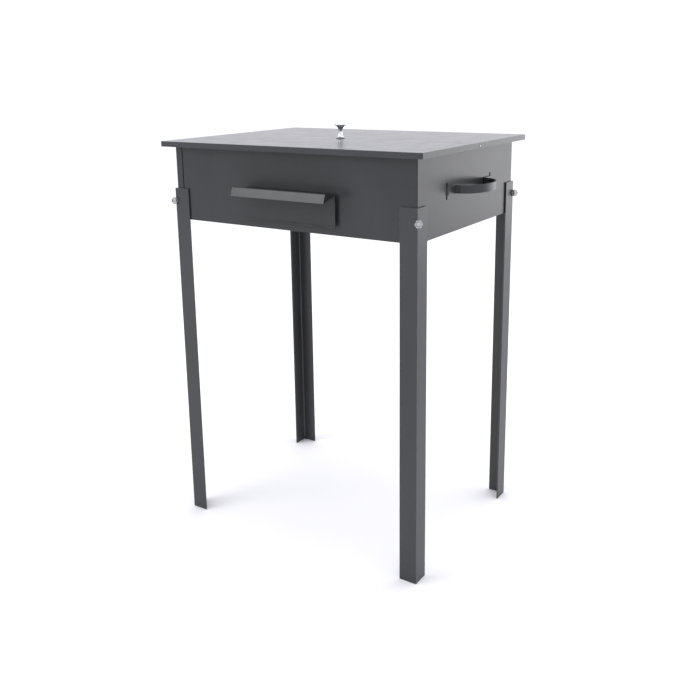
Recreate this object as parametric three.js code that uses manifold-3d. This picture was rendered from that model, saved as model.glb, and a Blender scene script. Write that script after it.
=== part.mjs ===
// Coal forge: a covered sheet-metal hearth on four angle legs, with an ash drawer, two side handles
// and a rear air inlet for a separate blower.
// Units are millimetres. +Z is up, the drawer faces -Y, and the origin is on the floor below the centre.
import * as THREE from 'three';
import { mergeVertices } from 'three/addons/utils/BufferGeometryUtils.js';
import Module from 'manifold-3d';

const wasm = await Module();
wasm.setup();

// Driving dimensions
const BOX = { width: 550, depth: 406, bottom: 643, top: 797.7, sheet: 2, bend: 1 };
const LID = { overhang: 20, top: 800, sheet: 2, lip: 10.5, corner: 3 };
const LEG = { flange: 35, thickness: 3, fillet: 4, toe: 1.5, top: 705.5, boltHeight: 680 };
const BOLT = { diameter: 8, clearanceHole: 9, acrossFlats: 13, headHeight: 5.3, nutHeight: 6.5, tail: 2.5 };
const HEARTH = { level: 731, sheet: 2, rim: 12 };
const DRAWER = { width: 211, offset: 8.5, low: 659, high: 718, sheet: 1.5, standOff: 6, hem: 3 };
const PULL = { shelf: 30, rise: 5.5, reach: 36, drop: 11 };
const TRAY = { width: 192, length: 300, low: 662.3, high: 705 };
const OPENING = { clearance: 2, low: 660.5, high: 709 };
const HANDLE = { height: 15, thickness: 3, low: 713, reach: 47, halfGrip: 62, slotAt: 93, tail: 18 };
const SLOT = { halfWidth: 2.6, low: 705, high: 735 };
const INLET = { bore: 23, radius: 25, flangeRadius: 42, flange: 2, rivetCircle: 34, height: 688, end: 246.5 };
const KNOB = { radius: 12.5, height: 32, forward: 18, cap: 4.5, foot: 7, washer: 9, screw: 2 };
const RIVET = { radius: 2, headRadius: 4, hole: 2.3 };
const LID_RIVET = { radius: 1.5, headRadius: 2.2, hole: 1.8 };
const GAP = 0.3;
const THROUGH = 10;

const halfWidth = BOX.width / 2;
const halfDepth = BOX.depth / 2;
const innerX = halfWidth - BOX.sheet;
const innerY = halfDepth - BOX.sheet;
const CORNERS = [
  { name: 'front_right', sx: 1, sy: -1 },
  { name: 'front_left', sx: -1, sy: -1 },
  { name: 'back_left', sx: -1, sy: 1 },
  { name: 'back_right', sx: 1, sy: 1 },
];
const SIDES = [
  { name: 'left', sx: -1 },
  { name: 'right', sx: 1 },
];

const paint = { color: 0x3b3d40, roughness: 0.45, metalness: 0.35 };
const MATERIALS = {
  paint: new THREE.MeshStandardMaterial(paint),
  zinc: new THREE.MeshStandardMaterial({ color: 0xa9adb0, roughness: 0.35, metalness: 0.9 }),
  chrome: new THREE.MeshStandardMaterial({ color: 0xe6e8ea, roughness: 0.08, metalness: 1 }),
  castIron: new THREE.MeshStandardMaterial({ color: 0x2a2a2b, roughness: 0.8, metalness: 0.5 }),
  steel: new THREE.MeshStandardMaterial({ color: 0x6f7276, roughness: 0.5, metalness: 0.9 }),
};

const forge = new THREE.Group();
forge.name = 'coal_forge';

function add(name, geometry, material) {
  const mesh = new THREE.Mesh(geometry, material);
  mesh.name = name;
  forge.add(mesh);
}

// A closed geometry as a manifold solid, and back again.
function solid(geometry) {
  const bare = geometry.clone();
  bare.deleteAttribute('normal');
  bare.deleteAttribute('uv');
  const merged = mergeVertices(bare, 1e-4);
  const mesh = new wasm.Mesh({
    numProp: 3,
    vertProperties: new Float32Array(merged.attributes.position.array),
    triVerts: new Uint32Array(merged.index.array),
  });
  return new wasm.Manifold(mesh);
}

function surface(manifold) {
  const mesh = manifold.getMesh();
  const geometry = new THREE.BufferGeometry();
  geometry.setAttribute('position', new THREE.BufferAttribute(mesh.vertProperties, 3));
  geometry.setIndex(new THREE.BufferAttribute(mesh.triVerts, 1));
  geometry.computeVertexNormals();
  return geometry;
}

function cut(geometry, ...cutters) {
  let result = solid(geometry);
  for (const cutter of cutters) result = result.subtract(solid(cutter));
  return surface(result);
}

function join(first, ...others) {
  let result = solid(first);
  for (const other of others) result = result.add(solid(other));
  return surface(result);
}

// A block between two opposite corners.
function block(x0, x1, y0, y1, z0, z1) {
  const box = new THREE.BoxGeometry(x1 - x0, y1 - y0, z1 - z0);
  return box.translate((x0 + x1) / 2, (y0 + y1) / 2, (z0 + z1) / 2);
}

// A prism with its outline in the XY plane, from z0 to z1.
function prism(outline, z0, z1) {
  const options = { depth: z1 - z0, bevelEnabled: false, curveSegments: 4 };
  return new THREE.ExtrudeGeometry(outline, options).translate(0, 0, z0);
}

// A prism with its outline in the XZ plane, from y0 to y1.
function prismAlongY(outline, y0, y1) {
  return prism(outline, -y1, -y0).rotateX(Math.PI / 2);
}

// A prism with its outline in the YZ plane, from x0 to x1.
function prismAlongX(outline, x0, x1) {
  return prism(outline, x0, x1).rotateX(Math.PI / 2).rotateZ(Math.PI / 2);
}

function roundedRectangle(halfX, halfY, radius) {
  const shape = new THREE.Shape();
  shape.moveTo(halfX, -halfY + radius);
  shape.absarc(halfX - radius, halfY - radius, radius, 0, Math.PI / 2);
  shape.absarc(-halfX + radius, halfY - radius, radius, Math.PI / 2, Math.PI);
  shape.absarc(-halfX + radius, -halfY + radius, radius, Math.PI, 1.5 * Math.PI);
  shape.absarc(halfX - radius, -halfY + radius, radius, 1.5 * Math.PI, 2 * Math.PI);
  return shape;
}

// The cross-section of a sheet bent along a line of points: each inner point becomes a round bend.
function bentSheet(points, thickness, bendRadius) {
  const corners = points.map(([x, y]) => new THREE.Vector2(x, y));
  const line = [];
  corners.forEach((corner, i) => {
    if (i === 0 || i === corners.length - 1) {
      const direction = i === 0 ? corners[1].clone().sub(corner) : corner.clone().sub(corners[i - 1]);
      line.push({ point: corner, direction: direction.normalize() });
      return;
    }
    const before = corner.clone().sub(corners[i - 1]).normalize();
    const after = corners[i + 1].clone().sub(corner).normalize();
    const turn = Math.atan2(before.cross(after), before.dot(after));
    const radius = bendRadius + thickness / 2;
    const start = corner.clone().addScaledVector(before, -radius * Math.tan(Math.abs(turn) / 2));
    const side = new THREE.Vector2(-before.y, before.x).multiplyScalar(Math.sign(turn));
    const centre = start.clone().addScaledVector(side, radius);
    const steps = Math.max(2, Math.ceil(Math.abs(turn) / 0.4));
    for (let k = 0; k <= steps; k += 1) {
      const angle = (turn * k) / steps;
      const point = start.clone().rotateAround(centre, angle);
      line.push({ point, direction: before.clone().rotateAround(new THREE.Vector2(), angle) });
    }
  });
  const offset = (sign) => line.map(({ point, direction }) => new THREE.Vector2(
    point.x - sign * direction.y * thickness / 2,
    point.y + sign * direction.x * thickness / 2,
  ));
  const outline = [...offset(1), ...offset(-1).reverse()];
  return new THREE.Shape(THREE.ShapeUtils.area(outline) < 0 ? outline.reverse() : outline);
}

// Moves a piece made along +Z onto the diagonal that runs out through one corner of the box.
// Its origin is on the inner corner of the walls, at the height of the leg bolt.
function alongDiagonal(geometry, { sx, sy }) {
  const outward = new THREE.Vector3(sx, sy, 0).normalize();
  const up = new THREE.Vector3(0, 0, 1);
  const matrix = new THREE.Matrix4().makeBasis(new THREE.Vector3().crossVectors(up, outward), up, outward);
  matrix.setPosition(sx * innerX, sy * innerY, LEG.boltHeight);
  return geometry.applyMatrix4(matrix);
}

// How many sides stand for a full turn.
const ROUND = { small: 12, medium: 24, large: 32 };

function rodAlongZ(radius, z0, z1, segments = 16) {
  const rod = new THREE.CylinderGeometry(radius, radius, z1 - z0, segments);
  return rod.rotateX(Math.PI / 2).translate(0, 0, (z0 + z1) / 2);
}

function rodAlongY(radius, y0, y1, x, z, segments = ROUND.medium) {
  const rod = new THREE.CylinderGeometry(radius, radius, y1 - y0, segments);
  return rod.translate(x, (y0 + y1) / 2, z);
}

// A cutter for a round hole through the back wall.
function throughBack(radius, x, z, segments) {
  return rodAlongY(radius, halfDepth - THROUGH, halfDepth + THROUGH, x, z, segments);
}

function boltHole(corner) {
  return alongDiagonal(rodAlongZ(BOLT.clearanceHole / 2, -60, 30), corner);
}

function hexagon(acrossFlats, z0, z1) {
  return rodAlongZ(acrossFlats / Math.sqrt(3), z0, z1, 6);
}

// The walls are two folded sheets of one pattern, each making one long and one short wall. A narrow
// flange closes the far corner of the short wall and laps the stepped-back end of the other sheet.
const LAP = { flange: 17, step: 2.3, stepRun: 2.5, end: 7 };

function wallSheet() {
  const midX = halfWidth - BOX.sheet / 2;
  const midY = halfDepth - BOX.sheet / 2;
  const flangeEdge = halfWidth - LAP.flange;
  const path = [
    [-(halfWidth - LAP.end), -(midY - LAP.step)],
    [-(flangeEdge - GAP), -(midY - LAP.step)],
    [-(flangeEdge - GAP - LAP.stepRun), -midY],
    [midX, -midY],
    [midX, midY],
    [flangeEdge, midY],
  ];
  return prism(bentSheet(path, BOX.sheet, BOX.bend), BOX.bottom, BOX.top);
}

function handleSlots(sx) {
  const x = sx * halfWidth;
  return [-1, 1].map((side) => block(
    x - THROUGH,
    x + THROUGH,
    side * HANDLE.slotAt - SLOT.halfWidth,
    side * HANDLE.slotAt + SLOT.halfWidth,
    SLOT.low,
    SLOT.high,
  ));
}

function addWalls() {
  const openingHalf = TRAY.width / 2 + OPENING.clearance;
  const opening = block(
    DRAWER.offset - openingHalf,
    DRAWER.offset + openingHalf,
    -halfDepth - THROUGH,
    -halfDepth + THROUGH,
    OPENING.low,
    OPENING.high,
  );
  const holes = CORNERS.map(boltHole);
  const frontRight = cut(wallSheet(), opening, ...handleSlots(1), ...holes);
  add('wall_sheet_front_right', frontRight, MATERIALS.paint);
  const inletHole = throughBack(INLET.radius + GAP, 0, INLET.height);
  const rivetHoles = inletRivetPlaces().map(([x, z]) => throughBack(RIVET.hole, x, z, ROUND.small));
  const backLeft = cut(wallSheet().rotateZ(Math.PI), inletHole, ...rivetHoles, ...handleSlots(-1), ...holes);
  add('wall_sheet_back_left', backLeft, MATERIALS.paint);
}

// A tray-shaped panel with its edges folded up, notched at the corners to clear the lapped walls.
function foldedPan(z0, sheet, rim) {
  const x = innerX - GAP;
  const y = innerY - GAP;
  const notchX = 24;
  const notchY = 4;
  const hollow = block(-x + sheet, x - sheet, -y + sheet, y - sheet, z0 + sheet, z0 + sheet + rim + 1);
  const notches = CORNERS.map(({ sx, sy }) => {
    const box = new THREE.BoxGeometry(2 * notchX, 2 * notchY, 100);
    return box.translate(sx * x, sy * y, z0);
  });
  return [block(-x, x, -y, y, z0, z0 + sheet + rim), hollow, ...notches];
}

const FLOOR = { sheet: 2, rim: 10 };
const GRATE = { halfX: 110, halfY: 85, thickness: 8, ledge: 10, slots: 7, slot: 12, halfSlot: 65 };

function addHearth() {
  add('floor_pan', cut(...foldedPan(BOX.bottom, FLOOR.sheet, FLOOR.rim)), MATERIALS.paint);

  const well = block(
    -GRATE.halfX + GRATE.ledge,
    GRATE.halfX - GRATE.ledge,
    -GRATE.halfY + GRATE.ledge,
    GRATE.halfY - GRATE.ledge,
    HEARTH.level - 20,
    HEARTH.level + 20,
  );
  const hearth = cut(...foldedPan(HEARTH.level - HEARTH.sheet, HEARTH.sheet, HEARTH.rim), well);
  add('hearth_pan', hearth, MATERIALS.steel);

  const seat = HEARTH.level + GAP;
  const plug = GRATE.ledge + 1;
  const plate = prism(roundedRectangle(GRATE.halfX, GRATE.halfY, 6), seat, seat + GRATE.thickness);
  const drop = block(
    -GRATE.halfX + plug,
    GRATE.halfX - plug,
    -GRATE.halfY + plug,
    GRATE.halfY - plug,
    seat - 5,
    seat + 1,
  );
  const pitch = (2 * (GRATE.halfX - plug)) / GRATE.slots;
  const slots = [];
  for (let i = 0; i < GRATE.slots; i += 1) {
    const x = (i - (GRATE.slots - 1) / 2) * pitch;
    const outline = roundedRectangle(GRATE.slot / 2, GRATE.halfSlot, GRATE.slot / 2 - 0.1);
    slots.push(prism(outline, seat - 10, seat + 20).translate(x, 0, 0));
  }
  add('grate', cut(join(plate, drop), ...slots), MATERIALS.castIron);
}

// An equal angle with a filleted root and rounded toes; its outer corner is at the origin and its
// flanges run along +X and +Y.
function angleSection({ flange, thickness, fillet, toe }) {
  const shape = new THREE.Shape();
  shape.moveTo(0, 0);
  shape.lineTo(flange, 0);
  shape.lineTo(flange, thickness - toe);
  shape.absarc(flange - toe, thickness - toe, toe, 0, Math.PI / 2);
  shape.lineTo(thickness + fillet, thickness);
  shape.absarc(thickness + fillet, thickness + fillet, fillet, 1.5 * Math.PI, Math.PI, true);
  shape.lineTo(thickness, flange - toe);
  shape.absarc(thickness - toe, flange - toe, toe, 0, Math.PI / 2);
  shape.lineTo(0, flange);
  return shape;
}

function addLegs() {
  const legX = halfWidth + LEG.thickness;
  const legY = halfDepth + LEG.thickness;
  // The root fillet is left out where the angle wraps the square corner of the box.
  for (const corner of CORNERS) {
    const { name, sx, sy } = corner;
    const angle = prism(angleSection(LEG), 0, LEG.top);
    const quarterTurns = { '1,-1': 1, '-1,-1': 0, '-1,1': 3, '1,1': 2 }[`${sx},${sy}`];
    angle.rotateZ((quarterTurns * Math.PI) / 2).translate(sx * legX, sy * legY, 0);
    const clearance = block(
      -halfWidth - GAP,
      halfWidth + GAP,
      -halfDepth - GAP,
      halfDepth + GAP,
      BOX.bottom - GAP,
      BOX.top,
    );
    add(`leg_${name}`, cut(angle, clearance, boltHole(corner)), MATERIALS.paint);
  }
}

// A brace across each corner inside the walls carries the head of the leg bolt and props the hearth.
const BRACE = { reach: 34, flange: 16, sheet: 2.5, low: 660 };

function addLegFixings() {
  const { reach, flange, sheet } = BRACE;
  const bend = sheet * Math.tan(Math.PI / 8);
  const outline = [
    [GAP, reach + flange],
    [GAP, reach],
    [reach, GAP],
    [reach + flange, GAP],
    [reach + flange, GAP + sheet],
    [reach + bend, GAP + sheet],
    [GAP + sheet, reach + bend],
    [GAP + sheet, reach + flange],
  ];
  const headSeat = -((reach + GAP) / Math.SQRT2 + sheet + GAP);
  const nutSeat = Math.SQRT2 * (BOX.sheet + LEG.thickness) + GAP;
  for (const corner of CORNERS) {
    const { name, sx, sy } = corner;
    const points = outline.map(([u, v]) => new THREE.Vector2(sx * (innerX - u), sy * (innerY - v)));
    if (THREE.ShapeUtils.area(points) < 0) points.reverse();
    const brace = prism(new THREE.Shape(points), BRACE.low, HEARTH.level - HEARTH.sheet - GAP);
    add(`corner_brace_${name}`, cut(brace, boltHole(corner)), MATERIALS.steel);

    const head = hexagon(BOLT.acrossFlats, headSeat - BOLT.headHeight, headSeat);
    const shank = rodAlongZ(BOLT.diameter / 2, headSeat - 1, nutSeat + BOLT.nutHeight + BOLT.tail);
    add(`leg_bolt_${name}`, alongDiagonal(join(head, shank), corner), MATERIALS.zinc);

    const nut = hexagon(BOLT.acrossFlats, nutSeat, nutSeat + BOLT.nutHeight);
    const thread = rodAlongZ(BOLT.diameter / 2 + GAP, nutSeat - 1, nutSeat + BOLT.nutHeight + 1);
    add(`leg_nut_${name}`, alongDiagonal(cut(nut, thread), corner), MATERIALS.zinc);
  }
}

// Each handle is a flat strap: its ends pass through tall slots in the wall and turn away inside,
// and between the slots it lies on the wall and then stands out as a rounded bow.
const BOW_STEPS = 14;

function addHandles() {
  const { thickness, reach, halfGrip, slotAt, tail, low, height } = HANDLE;
  const outside = halfWidth + GAP + thickness / 2;
  const inside = innerX - GAP - thickness / 2;
  const rise = halfWidth + reach - thickness / 2 - outside;
  const bow = [];
  for (let i = 0; i <= BOW_STEPS; i += 1) {
    const angle = (Math.PI * i) / BOW_STEPS;
    bow.push([outside + rise * Math.sin(angle), -halfGrip * Math.cos(angle)]);
  }
  const end = [
    [outside, slotAt],
    [inside, slotAt],
    [inside, slotAt + tail],
  ];
  const path = [...end.map(([x, y]) => [x, -y]).reverse(), ...bow, ...end];
  const strap = prism(bentSheet(path, thickness, 1), low, low + height);
  add('handle_right', strap, MATERIALS.paint);
  add('handle_left', strap.clone().rotateZ(Math.PI), MATERIALS.paint);
}

const RUNNER = { foot: 14, ledge: 12, clearance: 2.5, guideHeight: 22, setBack: 14, end: 110 };

// The ash drawer: a tray on two stepped runners, and a front plate folded out at its top into a hooded
// pull. The hood is a short rising shelf with a sloping lip, closed by a triangular cheek at each end.
function addDrawer() {
  const plateBack = -(halfDepth + DRAWER.standOff);
  const mid = plateBack - DRAWER.sheet / 2;
  const top = DRAWER.high - DRAWER.sheet / 2;
  const bottom = DRAWER.low + DRAWER.sheet / 2;
  const left = DRAWER.offset - DRAWER.width / 2;
  const right = DRAWER.offset + DRAWER.width / 2;
  const fold = [mid, top];
  const shelfEdge = [mid - PULL.shelf, top + PULL.rise];
  const lipEdge = [mid - PULL.reach, top - PULL.drop];
  const profile = [[mid - DRAWER.hem, bottom], [mid, bottom], fold, shelfEdge, lipEdge];
  const folded = prismAlongX(bentSheet(profile, DRAWER.sheet, 1), left, right);
  const triangle = new THREE.Shape([fold, shelfEdge, lipEdge].map(([y, z]) => new THREE.Vector2(y, z)));
  const cheeks = [left, right - DRAWER.sheet].map((x) => prismAlongX(triangle, x, x + DRAWER.sheet));
  add('drawer_front', join(folded, ...cheeks), MATERIALS.paint);

  const halfTray = TRAY.width / 2;
  const trayFront = plateBack + GAP;
  const trayBack = trayFront + TRAY.length;
  const sheet = DRAWER.sheet;
  const tray = cut(
    block(-halfTray, halfTray, trayFront, trayBack, TRAY.low, TRAY.high),
    block(-halfTray + sheet, halfTray - sheet, trayFront + sheet, trayBack - sheet, TRAY.low + sheet, TRAY.high + 1),
  );
  add('drawer_tray', tray.translate(DRAWER.offset, 0, 0), MATERIALS.steel);

  const floor = BOX.bottom + FLOOR.sheet;
  const ledge = TRAY.low - GAP;
  const web = halfTray - RUNNER.ledge;
  const guide = halfTray + RUNNER.clearance;
  const section = [
    [web - RUNNER.foot, floor + sheet / 2],
    [web, floor + sheet / 2],
    [web, ledge - sheet / 2],
    [guide, ledge - sheet / 2],
    [guide, ledge + RUNNER.guideHeight],
  ];
  for (const { name, sx } of SIDES) {
    const outline = bentSheet(section.map(([x, z]) => [DRAWER.offset + sx * x, z]), sheet, 1);
    const runner = prismAlongY(outline, -(innerY - RUNNER.setBack), RUNNER.end);
    add(`drawer_runner_${name}`, runner, MATERIALS.steel);
  }
}

function inletRivetPlaces() {
  const radius = INLET.rivetCircle;
  return [1, 3, 5, 7].map((eighth) => {
    const angle = (eighth * Math.PI) / 4;
    return [radius * Math.cos(angle), INLET.height + radius * Math.sin(angle)];
  });
}

// A flanged tube riveted to the back wall, with a bead round its open end that holds a hose.
function addInlet() {
  const { bore, radius, flangeRadius, flange, height, end } = INLET;
  const face = halfDepth + GAP;
  const inner = halfDepth - 6;
  const bead = 1.5;
  const profile = [
    [bore, inner],
    [radius, inner],
    [radius, face],
    [flangeRadius, face],
    [flangeRadius, face + flange],
    [radius, face + flange],
    [radius, end - 4],
    [radius + bead, end - 2.5],
    [radius + bead, end],
    [bore, end],
    [bore, inner],
  ].map(([r, y]) => new THREE.Vector2(r, y));
  const spigot = new THREE.LatheGeometry(profile, ROUND.large).translate(0, 0, height);
  const holes = inletRivetPlaces().map(([x, z]) => throughBack(RIVET.hole, x, z, ROUND.small));
  add('air_inlet', cut(spigot, ...holes), MATERIALS.paint);

  inletRivetPlaces().forEach(([x, z], i) => {
    const pin = rivet(RIVET, innerY - GAP, face + flange + GAP);
    add(`inlet_rivet_${i + 1}`, pin.translate(x, 0, z), MATERIALS.zinc);
  });
}

// A rivet along +Y: a shank that grips from y0 to y1, with a low domed head at each end.
function rivet({ radius, headRadius }, y0, y1) {
  const rise = headRadius * 0.5;
  const profile = [
    [0, y0 - rise],
    [headRadius * 0.7, y0 - rise * 0.7],
    [headRadius, y0],
    [radius, y0],
    [radius, y1],
    [headRadius, y1],
    [headRadius * 0.7, y1 + rise * 0.7],
    [0, y1 + rise],
  ].map(([r, y]) => new THREE.Vector2(r, y));
  return new THREE.LatheGeometry(profile, ROUND.small);
}

const CLIP = { sheet: 1.5, halfLength: 15, clearance: 1, setBack: 0.5 };

// The lid: a folded pan, a small clip riveted inside each short side that keeps it centred over the
// walls, and a turned knob held by a screw from below.
function addLid() {
  const outerX = halfWidth + LID.overhang;
  const outerY = halfDepth + LID.overhang;
  const low = LID.top - LID.lip;
  const under = LID.top - LID.sheet;
  const rivetHeight = LID.top - 0.6 * LID.lip;
  const lipHole = (y0, y1) => rodAlongY(LID_RIVET.hole, y0, y1, 0, rivetHeight, ROUND.small);
  const shell = prism(roundedRectangle(outerX, outerY, LID.corner), low, LID.top);
  const hollow = roundedRectangle(outerX - LID.sheet, outerY - LID.sheet, LID.corner - LID.sheet);
  const lipHoles = SIDES.map(({ sx }) => {
    return lipHole(outerX - THROUGH / 2, outerX + THROUGH / 2).rotateZ((-sx * Math.PI) / 2);
  });
  const knobHole = rodAlongZ(3, under - THROUGH, LID.top + THROUGH).translate(0, -KNOB.forward, 0);
  const pan = cut(shell, prism(hollow, low - 1, under), knobHole, ...lipHoles);
  add('lid_pan', pan, MATERIALS.paint);

  const lipFace = outerX - LID.sheet - GAP;
  const lipLeg = lipFace - CLIP.sheet / 2;
  const wallLeg = halfWidth + CLIP.clearance + CLIP.sheet / 2;
  const clipTop = under - GAP - CLIP.sheet / 2;
  const clipLow = low + CLIP.setBack;
  const section = [[lipLeg, clipLow], [lipLeg, clipTop], [wallLeg, clipTop], [wallLeg, clipLow]];
  const clip = prismAlongY(bentSheet(section, CLIP.sheet, 0.8), -CLIP.halfLength, CLIP.halfLength);
  const clipHole = lipHole(lipFace - THROUGH / 2, lipFace + THROUGH / 2).rotateZ(-Math.PI / 2);
  const drilled = cut(clip, clipHole);
  for (const { name, sx } of SIDES) {
    add(`lid_guide_${name}`, sx > 0 ? drilled : drilled.clone().rotateZ(Math.PI), MATERIALS.steel);
    const pin = rivet(LID_RIVET, lipFace - CLIP.sheet - GAP, outerX + GAP).translate(0, 0, rivetHeight);
    add(`lid_rivet_${name}`, pin.rotateZ((-sx * Math.PI) / 2), MATERIALS.paint);
  }
  addKnob(under);
}

// The knob stands on a washer, and its screw comes up through the lid from the sheet's underside.
function addKnob(under) {
  const washerThickness = 1.2;
  const footHeight = 1.5;
  const boreDepth = 10.4;
  const base = LID.top + GAP;
  const seat = base + washerThickness + GAP;
  const top = LID.top + KNOB.height;
  const capEdge = top - KNOB.cap;

  const washer = rodAlongZ(KNOB.washer, base, base + washerThickness, ROUND.medium);
  const washerHole = rodAlongZ(KNOB.screw + 1, base - 1, base + 3);
  add('knob_washer', cut(washer, washerHole).translate(0, -KNOB.forward, 0), MATERIALS.zinc);

  const neck = new THREE.CubicBezierCurve(
    new THREE.Vector2(5.2, seat + 4),
    new THREE.Vector2(3.6, seat + 12),
    new THREE.Vector2(4.2, capEdge - 8),
    new THREE.Vector2(8.5, capEdge - 3),
  );
  const cap = new THREE.EllipseCurve(0, capEdge, KNOB.radius, top - capEdge, 0, Math.PI / 2);
  const profile = [
    new THREE.Vector2(0, seat),
    new THREE.Vector2(KNOB.foot, seat),
    new THREE.Vector2(KNOB.foot, seat + footHeight),
    ...neck.getPoints(6),
    new THREE.Vector2(KNOB.radius - 0.8, capEdge - 1),
    ...cap.getPoints(6),
  ];
  profile[profile.length - 1].x = 0;
  const knob = new THREE.LatheGeometry(profile, ROUND.large).rotateX(Math.PI / 2);
  const bore = rodAlongZ(KNOB.screw + GAP, seat - 1, seat + boreDepth, ROUND.small);
  add('lid_knob', cut(knob, bore).translate(0, -KNOB.forward, 0), MATERIALS.chrome);

  const screwHead = rodAlongZ(4.5, under - GAP - 2.6, under - GAP, ROUND.medium);
  const screw = join(screwHead, rodAlongZ(KNOB.screw, under - 1, seat + boreDepth - 0.4, ROUND.small));
  add('knob_screw', screw.translate(0, -KNOB.forward, 0), MATERIALS.zinc);
}

addWalls();
addHearth();
addLegs();
addLegFixings();
addHandles();
addDrawer();
addInlet();
addLid();

export default forge;
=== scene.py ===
"""Looks for the coal forge: finished edges, turned and threaded pieces, materials, studio and camera.

Everything is in metres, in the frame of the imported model: +Z up, the ash drawer faces -Y, the floor is z = 0.
"""

import math

import bmesh
import bpy
from mathutils import Matrix, Vector


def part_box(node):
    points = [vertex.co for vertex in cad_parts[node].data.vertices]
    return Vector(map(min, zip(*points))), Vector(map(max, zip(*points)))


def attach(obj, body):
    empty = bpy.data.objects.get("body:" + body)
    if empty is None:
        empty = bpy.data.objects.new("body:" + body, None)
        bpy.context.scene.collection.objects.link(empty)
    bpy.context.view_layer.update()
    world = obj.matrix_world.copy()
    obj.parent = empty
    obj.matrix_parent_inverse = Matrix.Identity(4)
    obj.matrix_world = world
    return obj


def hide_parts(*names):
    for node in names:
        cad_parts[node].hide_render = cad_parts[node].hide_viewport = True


MM = 0.001
CORNERS = ("front_right", "front_left", "back_left", "back_right")

# An edge that turns by more than SHARP_TURN is shaded sharp, and one that turns by more than BEVEL_TURN is
# rounded. Faces that turn by less than FLAT_TURN are joined.
SHARP_TURN = math.radians(38)
BEVEL_TURN = math.radians(40)
FLAT_TURN = math.radians(0.5)

# Widths of the rounded edges.
SHEET_EDGE = 0.35 * MM
FLANGE_EDGE = 0.5 * MM
CAST_EDGE = 1.2 * MM
SCREW_EDGE = 0.3 * MM
WASHER_EDGE = 0.2 * MM

# Points closer than EXACT are one point. The bends between a handle's straight lengths are narrower than
# BEND_WIDTH, and merging each to a line lets the bow be shaded as one curve.
EXACT = 0.01 * MM
BEND_WIDTH = 0.9 * MM

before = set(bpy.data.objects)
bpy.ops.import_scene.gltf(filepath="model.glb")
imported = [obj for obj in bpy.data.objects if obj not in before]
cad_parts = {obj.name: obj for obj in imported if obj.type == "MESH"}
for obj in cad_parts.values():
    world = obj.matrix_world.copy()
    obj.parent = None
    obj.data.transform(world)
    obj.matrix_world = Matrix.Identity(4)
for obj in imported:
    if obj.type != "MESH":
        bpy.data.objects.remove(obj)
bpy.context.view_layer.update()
scene = bpy.context.scene


# ---------------------------------------------------------------------------------------------------------
# Shader helpers
# ---------------------------------------------------------------------------------------------------------

class Shader:
    """One material's node tree. add() makes a node, and a socket given as a value is linked."""

    def __init__(self, name):
        self.material = bpy.data.materials.new(name)
        self.material.use_nodes = True
        self.tree = self.material.node_tree
        self.surface = self.tree.nodes["Principled BSDF"]
        self.place = self.add("ShaderNodeTexCoord").outputs["Object"]

    def put(self, socket, value):
        if isinstance(value, bpy.types.NodeSocket):
            self.tree.links.new(value, socket)
        else:
            socket.default_value = value

    def add(self, kind, inputs=None, **settings):
        node = self.tree.nodes.new(kind)
        for key, value in settings.items():
            setattr(node, key, value)
        for key, value in (inputs or {}).items():
            self.put(node.inputs[key], value)
        return node

    def stretched(self, x, y, z):
        """The object coordinates, scaled along each axis."""
        return self.add("ShaderNodeMapping", {"Vector": self.place, "Scale": (x, y, z)}).outputs["Vector"]

    def noise(self, scale, detail=3.0, roughness=0.5, vector=None):
        inputs = {"Vector": vector or self.place, "Scale": scale, "Detail": detail, "Roughness": roughness}
        return self.add("ShaderNodeTexNoise", inputs).outputs["Fac"]

    def spread(self, value, low, high, to_low=0.0, to_high=1.0):
        """Maps value from low..high to to_low..to_high, clamped."""
        inputs = {"Value": value, "From Min": low, "From Max": high, "To Min": to_low, "To Max": to_high}
        return self.add("ShaderNodeMapRange", inputs).outputs["Result"]

    def math(self, operation, a, b=0.0):
        node = self.add("ShaderNodeMath", operation=operation)
        self.put(node.inputs[0], a)
        self.put(node.inputs[1], b)
        return node.outputs[0]

    def mix(self, factor, a, b):
        node = self.add("ShaderNodeMix", data_type="RGBA")
        self.put(node.inputs["Factor"], factor)
        self.put(node.inputs[6], a)
        self.put(node.inputs[7], b)
        return node.outputs[2]

    def bump(self, height, distance, strength=1.0, normal=None):
        inputs = {"Height": height, "Distance": distance, "Strength": strength}
        if normal is not None:
            inputs["Normal"] = normal
        return self.add("ShaderNodeBump", inputs).outputs["Normal"]

    def edges(self, radius, low=0.02, high=0.25):
        """1 on sharp edges and corners, 0 on open faces, from how far a rounded normal turns away."""
        rounded = self.add("ShaderNodeBevel", {"Radius": radius}, samples=6).outputs["Normal"]
        plain = self.add("ShaderNodeNewGeometry").outputs["Normal"]
        node = self.add("ShaderNodeVectorMath", {0: rounded, 1: plain}, operation="DOT_PRODUCT")
        return self.spread(self.math("SUBTRACT", 1.0, node.outputs["Value"]), low, high)

    def finish(self, colour, roughness, metallic, normal, **fixed):
        """Links the worked-out channels, and sets each number that is the same all over on its own socket."""
        self.put(self.surface.inputs["Base Color"], colour)
        self.put(self.surface.inputs["Roughness"], roughness)
        self.put(self.surface.inputs["Metallic"], metallic)
        self.put(self.surface.inputs["Normal"], normal)
        for key, value in fixed.items():
            self.surface.inputs[key.replace("_", " ")].default_value = value
        return self.material


def grey(value, tint=0.0):
    """A grey in linear light; a positive tint makes it cooler."""
    return (value * (1 - tint), value, value * (1 + 1.6 * tint), 1.0)


# ---------------------------------------------------------------------------------------------------------
# Materials
# ---------------------------------------------------------------------------------------------------------

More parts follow.
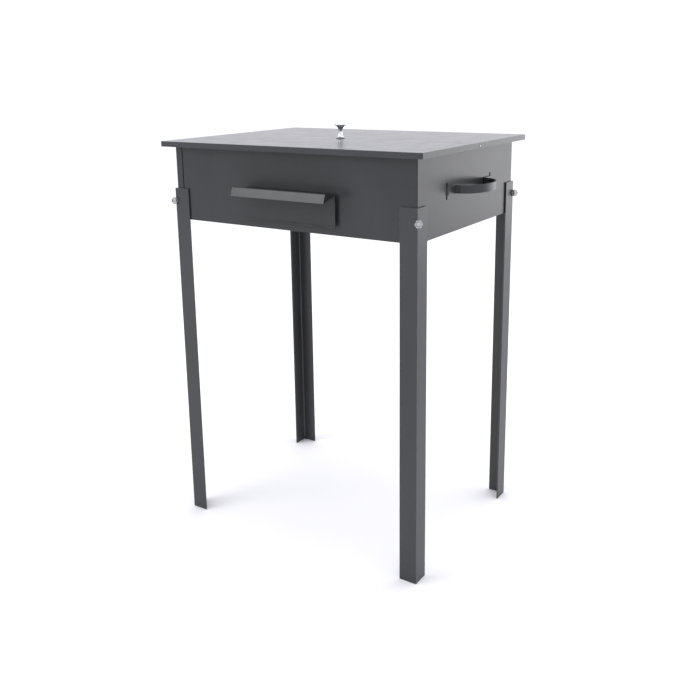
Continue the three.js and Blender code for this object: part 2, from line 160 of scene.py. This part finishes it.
def painted_sheet(name, shade, gloss=0.30, wave=0.0006):
    """Semi-gloss graphite paint: orange peel, slow waviness of the sheet, faint smears and rubbed edges."""
    s = Shader(name)
    cloud = s.noise(3.5, detail=4)
    speck = s.noise(1400, detail=2)
    smear = s.spread(s.noise(9, detail=6, roughness=0.62, vector=s.stretched(1, 1, 0.35)), 0.5, 0.72)
    base = s.mix(s.spread(cloud, 0.3, 0.7), grey(shade * 0.9, 0.03), grey(shade * 1.1, 0.05))
    base = s.mix(s.spread(speck, 0.6, 0.8, 0.0, 0.3), base, grey(shade * 2.2, 0.05))
    base = s.mix(s.math("MULTIPLY", smear, 0.015), base, grey(0.25, 0.02))
    rubbed = s.math("MULTIPLY", s.edges(0.9 * MM), s.spread(s.noise(90, detail=5), 0.52, 0.68))
    colour = s.mix(s.math("MULTIPLY", rubbed, 0.55), base, grey(0.33, 0.02))
    roughness = s.spread(s.noise(28, detail=5), 0.3, 0.7, gloss - 0.015, gloss + 0.02)
    roughness = s.math("ADD", roughness, s.math("MULTIPLY", smear, 0.015))
    peel = s.bump(s.noise(420, detail=2), 0.02 * MM, 0.6)
    normal = s.bump(s.noise(5, detail=1), wave, 1.0, peel)
    return s.finish(colour, roughness, s.math("MULTIPLY", rubbed, 0.6), normal, IOR=1.42)


def mill_steel(name, shade, along):
    """Bare rolled steel: fine grain along the rolling direction, cloudy scale and a few dark stains."""
    s = Shader(name)
    grain_scale = tuple(0.04 if axis == along else 1.0 for axis in "xyz")
    grain = s.noise(900, detail=3, vector=s.stretched(*grain_scale))
    scale = s.spread(s.noise(14, detail=6, roughness=0.65), 0.42, 0.62)
    stain = s.spread(s.noise(40, detail=6, roughness=0.7), 0.62, 0.75)
    base = s.mix(scale, grey(shade, 0.02), grey(shade * 0.62, 0.05))
    base = s.mix(s.spread(grain, 0.35, 0.65, 0.0, 0.35), base, grey(shade * 1.3, 0.0))
    base = s.mix(s.math("MULTIPLY", stain, 0.5), base, (0.09, 0.06, 0.045, 1))
    bright = s.edges(0.7 * MM)
    colour = s.mix(s.math("MULTIPLY", bright, 0.4), base, grey(0.5))
    roughness = s.spread(s.math("ADD", grain, s.math("MULTIPLY", scale, 0.5)), 0.3, 1.2, 0.34, 0.58)
    normal = s.bump(grain, 0.02 * MM, 0.8, s.bump(s.noise(6, detail=2), 0.5 * MM))
    return s.finish(colour, roughness, 0.85, normal)


def heated_steel(name):
    """The fire floor: dark scale that turns brown, then blue-grey, straw and grey, away from the grate."""
    s = Shader(name)
    flat_place = s.stretched(1, 1.25, 0)
    distance = s.add("ShaderNodeVectorMath", {0: flat_place}, operation="LENGTH").outputs["Value"]
    wander = s.math("ADD", distance, s.spread(s.noise(12, detail=5), 0.2, 0.8, -0.05, 0.05))
    ramp = s.add("ShaderNodeValToRGB", {"Fac": s.spread(wander, 0.08, 0.30)})
    stops = ramp.color_ramp
    stops.elements[0].color = (0.045, 0.043, 0.042, 1)
    stops.elements[1].color = (0.16, 0.16, 0.163, 1)
    brown = (0.08, 0.068, 0.06, 1)
    blue_grey = (0.105, 0.106, 0.118, 1)
    straw = (0.155, 0.147, 0.132, 1)
    for position, colour in ((0.3, brown), (0.5, blue_grey), (0.7, straw)):
        stops.elements.new(position).color = colour
    soot = s.spread(s.noise(70, detail=6, roughness=0.7), 0.5, 0.7)
    colour = s.mix(s.math("MULTIPLY", soot, 0.5), ramp.outputs["Color"], (0.02, 0.019, 0.018, 1))
    roughness = s.spread(soot, 0.0, 1.0, 0.42, 0.75)
    normal = s.bump(s.noise(260, detail=5), 0.06 * MM, 0.8, s.bump(s.noise(7, detail=2), 1.0 * MM))
    return s.finish(colour, roughness, 0.6, normal)


def cast_iron(name):
    """Sand-cast iron: coarse skin, rounded pits and a trace of rust."""
    s = Shader(name)
    skin = s.noise(320, detail=5, roughness=0.6)
    pits = s.add("ShaderNodeTexVoronoi", {"Vector": s.place, "Scale": 260.0}).outputs["Distance"]
    rust = s.spread(s.noise(55, detail=6, roughness=0.7), 0.56, 0.7)
    base = s.mix(s.spread(skin, 0.35, 0.7), grey(0.028), grey(0.075, 0.02))
    colour = s.mix(s.math("MULTIPLY", rust, 0.55), base, (0.12, 0.045, 0.02, 1))
    colour = s.mix(s.math("MULTIPLY", s.edges(1.5 * MM), 0.35), colour, grey(0.2))
    roughness = s.spread(skin, 0.3, 0.7, 0.6, 0.82)
    normal = s.bump(skin, 0.25 * MM, 0.9, s.bump(s.spread(pits, 0.0, 0.5), 0.15 * MM, 0.6))
    return s.finish(colour, roughness, 0.45, normal)


def zinc_plate(name):
    """Bright zinc plating with a cloudy blue passivation, dulled a little in places."""
    s = Shader(name)
    cloud = s.noise(160, detail=4)
    base = s.mix(s.spread(cloud, 0.35, 0.65), (0.36, 0.38, 0.41, 1), (0.48, 0.47, 0.45, 1))
    dull = s.spread(s.noise(420, detail=5, roughness=0.65), 0.5, 0.68)
    colour = s.mix(s.math("MULTIPLY", dull, 0.45), base, grey(0.2, 0.02))
    roughness = s.spread(dull, 0.0, 1.0, 0.24, 0.5)
    normal = s.bump(s.noise(900, detail=3), 0.03 * MM, 0.7)
    return s.finish(colour, roughness, 1.0, normal)


def chrome_plate(name):
    """Polished chrome with faint polishing lines round the knob and a few handling smudges."""
    s = Shader(name)
    smudge = s.spread(s.noise(120, detail=5, roughness=0.6), 0.5, 0.75)
    colour = s.mix(s.math("MULTIPLY", smudge, 0.12), (0.70, 0.71, 0.73, 1), (0.52, 0.53, 0.54, 1))
    roughness = s.spread(smudge, 0.0, 1.0, 0.045, 0.16)
    lines = s.noise(2600, detail=1, vector=s.stretched(0.05, 0.05, 1))
    return s.finish(colour, roughness, 1.0, s.bump(lines, 0.004 * MM, 0.5))


# ---------------------------------------------------------------------------------------------------------
# Finished edges on the CAD nodes
# ---------------------------------------------------------------------------------------------------------

def smoothing_group(limit):
    """Geometry nodes that smooth every face and keep the edges that turn by more than limit sharp."""
    tree = bpy.data.node_groups.new("smooth_by_angle", "GeometryNodeTree")
    for direction in ("INPUT", "OUTPUT"):
        tree.interface.new_socket("Geometry", in_out=direction, socket_type="NodeSocketGeometry")
    start = tree.nodes.new("NodeGroupInput")
    smooth = tree.nodes.new("GeometryNodeSetShadeSmooth")
    angle = tree.nodes.new("GeometryNodeInputMeshEdgeAngle")
    sharp = tree.nodes.new("FunctionNodeCompare")
    keep = tree.nodes.new("GeometryNodeSetShadeSmooth")
    end = tree.nodes.new("NodeGroupOutput")
    sharp.data_type = "FLOAT"
    sharp.operation = "GREATER_THAN"
    sharp.inputs[1].default_value = limit
    keep.domain = "EDGE"
    keep.inputs["Shade Smooth"].default_value = False
    tree.links.new(start.outputs[0], smooth.inputs["Geometry"])
    tree.links.new(smooth.outputs[0], keep.inputs["Geometry"])
    tree.links.new(angle.outputs["Unsigned Angle"], sharp.inputs[0])
    tree.links.new(sharp.outputs[0], keep.inputs["Selection"])
    tree.links.new(keep.outputs[0], end.inputs[0])
    return tree


SMOOTH = smoothing_group(SHARP_TURN)


def finish_edges(obj, width, merge):
    """Merges points closer than merge, clears flat triangles, rounds sharp edges and smooths the bends."""
    weld = obj.modifiers.new("weld", "WELD")
    weld.merge_threshold = merge
    flat = obj.modifiers.new("flat_faces", "DECIMATE")
    flat.decimate_type = "DISSOLVE"
    flat.angle_limit = FLAT_TURN
    bevel = obj.modifiers.new("edge_round", "BEVEL")
    bevel.width = width
    bevel.segments = 3
    bevel.limit_method = "ANGLE"
    bevel.angle_limit = BEVEL_TURN
    smooth = obj.modifiers.new("smooth", "NODES")
    smooth.node_group = SMOOTH
    normals = obj.modifiers.new("face_normals", "WEIGHTED_NORMAL")
    normals.keep_sharp = True


def set_material(obj, material):
    obj.data.materials.clear()
    obj.data.materials.append(material)


# ---------------------------------------------------------------------------------------------------------
# Mesh pieces
# ---------------------------------------------------------------------------------------------------------

def new_piece(name, rings, material, body, node, matrix):
    """A closed skin over rings of points; a ring of one point closes an end, otherwise the ends join up."""
    mesh = bmesh.new()
    layers = [[mesh.verts.new(matrix @ Vector(p)) for p in ring] for ring in rings]
    pairs = list(zip(layers, layers[1:]))
    if len(layers[0]) > 1 and len(layers[-1]) > 1:
        pairs.append((layers[-1], layers[0]))
    for lower, upper in pairs:
        count = max(len(lower), len(upper))
        for i in range(count):
            j = (i + 1) % count
            a = [lower[i % len(lower)], lower[j % len(lower)]]
            b = [upper[j % len(upper)], upper[i % len(upper)]]
            corners = list(dict.fromkeys(a + b))
            mesh.faces.new(corners)
    bmesh.ops.recalc_face_normals(mesh, faces=mesh.faces)
    data = bpy.data.meshes.new(name)
    mesh.to_mesh(data)
    mesh.free()
    for polygon in data.polygons:
        polygon.use_smooth = True
    piece = bpy.data.objects.new(name, data)
    scene.collection.objects.link(piece)
    data.materials.append(material)
    smooth = piece.modifiers.new("smooth", "NODES")
    smooth.node_group = SMOOTH
    normals = piece.modifiers.new("face_normals", "WEIGHTED_NORMAL")
    normals.keep_sharp = True
    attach(piece, body)
    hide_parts(node)
    return piece


def circle(radius, z, count):
    """A ring of points, or one point on the axis where the radius is nothing."""
    if radius < 1e-9:
        return [(0.0, 0.0, z)]
    turn = 2 * math.pi / count
    return [(radius * math.cos(i * turn), radius * math.sin(i * turn), z) for i in range(count)]


def lathe(profile, count):
    return [circle(radius, z, count) for radius, z in profile]


def arc(centre_r, centre_z, radius_r, radius_z, start, end, steps):
    """Points of a lathe profile along part of an ellipse, with angles in degrees."""
    points = []
    for i in range(steps + 1):
        angle = math.radians(start + (end - start) * i / steps)
        points.append((centre_r + radius_r * math.cos(angle), centre_z + radius_z * math.sin(angle)))
    return points


def hexagon_reach(angle, across_flats):
    """Distance from the centre of a hexagon to its side, at this angle. A corner lies at 90 degrees."""
    sixth = math.pi / 3
    return across_flats / 2 / math.cos((angle % sixth) - sixth / 2)


HEXAGON_POINTS = 144
HEXAGON_CHAMFER = math.radians(30)
HEXAGON_LAND = 0.96


def hexagon_rings(across_flats, z0, z1, inner):
    """The rings of a hexagon head or nut with turned chamfers, from one end of its bore to the other."""
    slope = math.tan(HEXAGON_CHAMFER)
    land = across_flats / 2 * HEXAGON_LAND
    turn = 2 * math.pi / HEXAGON_POINTS

    def ring(reach, z_of):
        points = []
        for i in range(HEXAGON_POINTS):
            angle = (i + 0.5) * turn
            r = reach(angle)
            points.append((r * math.cos(angle), r * math.sin(angle), z_of(r)))
        return points

    def side(angle):
        return hexagon_reach(angle, across_flats)

    def fall(r):
        return slope * max(0.0, r - land)

    return [
        ring(lambda angle: inner, lambda r: z0),
        ring(lambda angle: land, lambda r: z0),
        ring(side, lambda r: z0 + fall(r)),
        ring(side, lambda r: z1 - fall(r)),
        ring(lambda angle: land, lambda r: z1),
        ring(lambda angle: inner, lambda r: z1),
    ]


def half_step(ring):
    """The ring turned by half the step between hexagon points, so that its points lie in line with theirs."""
    turn = Matrix.Rotation(math.pi / HEXAGON_POINTS, 4, "Z")
    return [tuple(turn @ Vector(p)) for p in ring]


BOLT_PITCH = 1.25 * MM
BOLT_RADIUS = 4 * MM
BOLT_HEAD = 5.3 * MM
BOLT_TIP = 0.8 * MM
THREAD_DEPTH = 0.6 * MM
THREAD_LENGTH = 16 * MM
THREAD_RUN_IN = 0.1 * MM
THREAD_RINGS_PER_TURN = 8
BORE_CLEARANCE = 0.1 * MM
COUNTERSINK = 0.7 * MM


def thread_rings(z0, z1, count):
    """A screw thread from z0 to a chamfered tip at z1."""
    steps = math.ceil((z1 - z0) / BOLT_PITCH * THREAD_RINGS_PER_TURN)
    rings = []
    for k in range(steps + 1):
        z = z0 + (z1 - z0) * k / steps
        limit = BOLT_RADIUS - max(0.0, z - (z1 - BOLT_TIP))
        points = []
        for i in range(count):
            angle = 2 * math.pi * i / count
            phase = (z / BOLT_PITCH - i / count) % 1.0
            depth = THREAD_DEPTH * (1 - abs(2 * phase - 1))
            radius = min(BOLT_RADIUS - depth, limit)
            points.append((radius * math.cos(angle), radius * math.sin(angle), z))
        rings.append(points)
    return rings


def leg_fixing(corner, material):
    """The threaded bolt and the chamfered nut that stand in for the plain ones on one leg."""
    nut_node = f"leg_nut_{corner}"
    low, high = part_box(nut_node)
    centre = (low + high) / 2
    across_flats = (high.z - low.z) * math.cos(math.pi / 6)
    thickness = math.sqrt(2) * (high.x - low.x) - across_flats
    outward = Vector((math.copysign(1, centre.x), math.copysign(1, centre.y), 0)).normalized()
    up = Vector((0, 0, 1))
    turn = Matrix((up.cross(outward), up, outward)).transposed().to_4x4()
    place = Matrix.Translation(centre) @ turn

    bore = BOLT_RADIUS + BORE_CLEARANCE
    half = thickness / 2
    nut = hexagon_rings(across_flats, -half, half, bore + COUNTERSINK)
    nut.append(half_step(circle(bore, half - COUNTERSINK, HEXAGON_POINTS)))
    nut.append(half_step(circle(bore, -half + COUNTERSINK, HEXAGON_POINTS)))
    new_piece(f"nut_{corner}", nut, material, "forge_frame", nut_node, place)

    bolt_node = f"leg_bolt_{corner}"
    low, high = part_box(bolt_node)
    near = min(abs(low.x), abs(high.x)) - abs(centre.x)
    far = max(abs(low.x), abs(high.x)) - abs(centre.x)
    start = math.sqrt(2) * near + across_flats / 2
    tip = math.sqrt(2) * far - BOLT_RADIUS
    thread_from = tip - THREAD_LENGTH
    rings = [circle(0, start, 1)]
    rings += hexagon_rings(across_flats, start, start + BOLT_HEAD, BOLT_RADIUS)[1:]
    rings.append(half_step(circle(BOLT_RADIUS, thread_from, HEXAGON_POINTS)))
    threads = thread_rings(thread_from + THREAD_RUN_IN, tip, HEXAGON_POINTS)
    rings += [half_step(ring) for ring in threads]
    rings.append(circle(0, tip, 1))
    new_piece(f"bolt_{corner}", rings, material, "forge_frame", bolt_node, place)


def rivet(node, axis, material, body):
    """A rivet with two smooth domed heads, along X or Y, in the place of a CAD node."""
    low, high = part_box(node)
    size = high - low
    centre = (low + high) / 2
    along = size["xy".index(axis)]
    head = size.z / 2
    rise = head * 0.5
    shank = head * 0.5
    grip = along / 2 - rise
    profile = arc(0, -grip, head, rise, -90, 0, 8)
    profile += [(shank, -grip), (shank, grip)]
    profile += arc(0, grip, head, rise, 0, 90, 8)
    turn = Matrix.Rotation(math.pi / 2, 4, "Y" if axis == "x" else "X")
    place = Matrix.Translation(centre) @ turn
    new_piece(f"{node}_domed", lathe(profile, 48), material, body, node, place)


def knob(material):
    """The mushroom knob: a foot, a waisted neck and a low domed cap with a rolled rim."""
    low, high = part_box("lid_knob")
    centre = (low + high) / 2
    radius = (high.x - low.x) / 2
    height = high.z - low.z
    cap = 4.5 * MM
    foot = 7 * MM
    foot_chamfered = 6.6 * MM
    rim_round = 1.0 * MM
    rim = height - cap
    profile = [(0, 0), (foot_chamfered, 0), (foot, 0.3 * MM), (foot, 1.2 * MM), (foot_chamfered, 1.6 * MM)]
    profile += [(5.6 * MM, 2.6 * MM), (4.7 * MM, 4.6 * MM)]
    profile += [(4.0 * MM, rim * 0.30), (3.6 * MM, rim * 0.45)]
    profile += [(3.9 * MM, rim * 0.62), (5.4 * MM, rim * 0.76)]
    profile += [(8.4 * MM, rim - 2.6 * MM), (radius - 1.4 * MM, rim - 1.5 * MM)]
    profile += arc(radius - rim_round, rim - 0.5 * MM, rim_round, rim_round, -80, 0, 5)
    profile += arc(0, rim, radius, cap, 4, 90, 16)
    profile[-1] = (0, height)
    place = Matrix.Translation((centre.x, centre.y, low.z))
    piece = new_piece("knob_turned", lathe(profile, 128), material, "lid", "lid_knob", place)
    soften = piece.modifiers.new("soften", "SUBSURF")
    soften.levels = soften.render_levels = 1


def inlet(material):
    """The rear air inlet: a riveted flange, a tube and the rolled bead that holds a hose."""
    low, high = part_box("air_inlet")
    centre = (low + high) / 2
    flange = (high.x - low.x) / 2
    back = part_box("wall_sheet_back_left")[1].y + 0.3 * MM
    bore = 23 * MM
    tube = 25 * MM
    sheet = 2 * MM
    fillet = 2 * MM
    bead_rise = 1.5 * MM
    bead_half_width = 3 * MM
    flange_chamfer = 0.4 * MM
    mouth_chamfer = 0.3 * MM
    inner, outer = low.y, high.y
    face = back + sheet
    profile = [(bore, inner), (tube, inner), (tube, back)]
    profile += [(flange - flange_chamfer, back), (flange, back + flange_chamfer)]
    profile += [(flange, face - flange_chamfer), (flange - flange_chamfer, face)]
    profile += arc(tube + fillet, face + fillet, fillet, fillet, 270, 180, 6)
    profile += [(tube, outer - 2 * bead_half_width)]
    profile += arc(tube, outer - bead_half_width, bead_rise, bead_half_width, -70, 60, 10)
    profile += [(tube - mouth_chamfer, outer), (bore + mouth_chamfer, outer), (bore, outer - mouth_chamfer)]
    place = Matrix.Translation((centre.x, 0, centre.z)) @ Matrix.Rotation(-math.pi / 2, 4, "X")
    rings = lathe(profile, 96)
    new_piece("air_inlet_turned", rings, material, "forge_frame", "air_inlet", place)


# ---------------------------------------------------------------------------------------------------------
# The forge
# ---------------------------------------------------------------------------------------------------------

wall_paint = painted_sheet("wall_paint", 0.024)
lid_paint = painted_sheet("lid_paint", 0.034, gloss=0.24, wave=0.00015)
leg_paint = painted_sheet("leg_paint", 0.033, wave=0.0002)
zinc = zinc_plate("zinc")
chrome = chrome_plate("chrome")
iron = cast_iron("grate_iron")
hearth = heated_steel("hearth_steel")
steel_x = mill_steel("mill_steel_x", 0.36, "x")
steel_y = mill_steel("mill_steel_y", 0.36, "y")

FINISHES = {
    "wall_sheet_front_right": (wall_paint, SHEET_EDGE),
    "wall_sheet_back_left": (wall_paint, SHEET_EDGE),
    "floor_pan": (wall_paint, SHEET_EDGE),
    "hearth_pan": (hearth, SHEET_EDGE),
    "grate": (iron, CAST_EDGE),
    "handle_left": (wall_paint, FLANGE_EDGE),
    "handle_right": (wall_paint, FLANGE_EDGE),
    "drawer_front": (wall_paint, SHEET_EDGE),
    "drawer_tray": (steel_x, SHEET_EDGE),
    "drawer_runner_left": (steel_y, SHEET_EDGE),
    "drawer_runner_right": (steel_y, SHEET_EDGE),
    "lid_pan": (lid_paint, FLANGE_EDGE),
    "lid_guide_left": (steel_y, SHEET_EDGE),
    "lid_guide_right": (steel_y, SHEET_EDGE),
    "knob_washer": (zinc, WASHER_EDGE),
    "knob_screw": (zinc, SCREW_EDGE),
}
for corner in CORNERS:
    FINISHES[f"leg_{corner}"] = (leg_paint, FLANGE_EDGE)
    FINISHES[f"corner_brace_{corner}"] = (steel_x, SHEET_EDGE)

for name, (material, width) in FINISHES.items():
    set_material(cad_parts[name], material)
    merge = BEND_WIDTH if name.startswith("handle") else EXACT
    finish_edges(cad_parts[name], width, merge)

for corner in CORNERS:
    leg_fixing(corner, zinc)
for number in range(1, 5):
    rivet(f"inlet_rivet_{number}", "y", zinc, "forge_frame")
for side in ("left", "right"):
    rivet(f"lid_rivet_{side}", "x", zinc, "lid")
knob(chrome)
inlet(wall_paint)


# ---------------------------------------------------------------------------------------------------------
# Studio
# ---------------------------------------------------------------------------------------------------------

def pale_floor():
    """A wide plain floor with the faintest mottling."""
    s = Shader("pale_floor")
    colour = s.mix(s.noise(1.5, detail=2), (0.86, 0.86, 0.865, 1), (0.90, 0.90, 0.905, 1))
    s.finish(colour, 0.9, 0.0, s.bump(s.noise(60, detail=2), 0.05 * MM, 0.2))
    mesh = bmesh.new()
    bmesh.ops.create_circle(mesh, cap_ends=True, segments=96, radius=40.0)
    data = bpy.data.meshes.new("studio_floor")
    mesh.to_mesh(data)
    mesh.free()
    floor = bpy.data.objects.new("studio_floor", data)
    scene.collection.objects.link(floor)
    data.materials.append(s.material)
    floor.location.z = -0.2 * MM


def studio_world():
    """An even white studio that is brighter towards the back right and dimmer towards the front left."""
    world = bpy.data.worlds.new("studio")
    world.use_nodes = True
    scene.world = world
    tree = world.node_tree
    background = tree.nodes["Background"]
    direction = tree.nodes.new("ShaderNodeTexCoord").outputs["Generated"]
    towards = tree.nodes.new("ShaderNodeVectorMath")
    towards.operation = "DOT_PRODUCT"
    towards.inputs[1].default_value = Vector((0.6, 0.75, 0.28)).normalized()
    ramp = tree.nodes.new("ShaderNodeMapRange")
    ramp.inputs["From Min"].default_value = -0.9
    ramp.inputs["From Max"].default_value = 0.6
    ramp.inputs["To Min"].default_value = 1.08
    ramp.inputs["To Max"].default_value = 1.22
    tree.links.new(direction, towards.inputs[0])
    tree.links.new(towards.outputs["Value"], ramp.inputs["Value"])
    tree.links.new(ramp.outputs["Result"], background.inputs["Strength"])
    background.inputs["Color"].default_value = (1.0, 1.0, 1.06, 1)


def softbox(name, location, target, size, power):
    light = bpy.data.lights.new(name, "AREA")
    light.shape = "RECTANGLE"
    light.size, light.size_y = size
    light.energy = power
    obj = bpy.data.objects.new(name, light)
    obj.location = location
    obj.rotation_euler = (Vector(target) - Vector(location)).to_track_quat("-Z", "Y").to_euler()
    scene.collection.objects.link(obj)


CAMERA_PLACE = (0.940, -1.426, 0.929)
CAMERA_YAW = math.radians(33.21)
CAMERA_DOWN = math.radians(13.03)
CAMERA_ROLL = math.radians(-0.78)
CAMERA_LENS = 43.10
CAMERA_SENSOR = 36.0
CAMERA_SHIFT = -0.12


def camera():
    """A view close to the photograph's. A larger shift would match it better, but crop the other views."""
    data = bpy.data.cameras.new("camera")
    data.sensor_width = CAMERA_SENSOR
    data.lens = CAMERA_LENS
    data.shift_y = CAMERA_SHIFT
    obj = bpy.data.objects.new("camera", data)
    turn = Matrix.Rotation(CAMERA_YAW, 4, "Z")
    tilt = Matrix.Rotation(math.pi / 2 - CAMERA_DOWN, 4, "X")
    roll = Matrix.Rotation(CAMERA_ROLL, 4, "Z")
    obj.matrix_world = Matrix.Translation(CAMERA_PLACE) @ turn @ tilt @ roll
    scene.collection.objects.link(obj)
    scene.camera = obj


scene.view_settings.view_transform = "Standard"
pale_floor()
studio_world()
middle = Vector((0, 0, 0.45))
softbox("back_right", (1.9, 3.4, 0.6), middle, (2.8, 1.8), 26)
softbox("front_left", (-2.2, -3.2, 2.6), middle, (2.2, 1.2), 45)
softbox("top", (0.2, 0.4, 3.6), middle, (2.4, 2.4), 25)
camera()
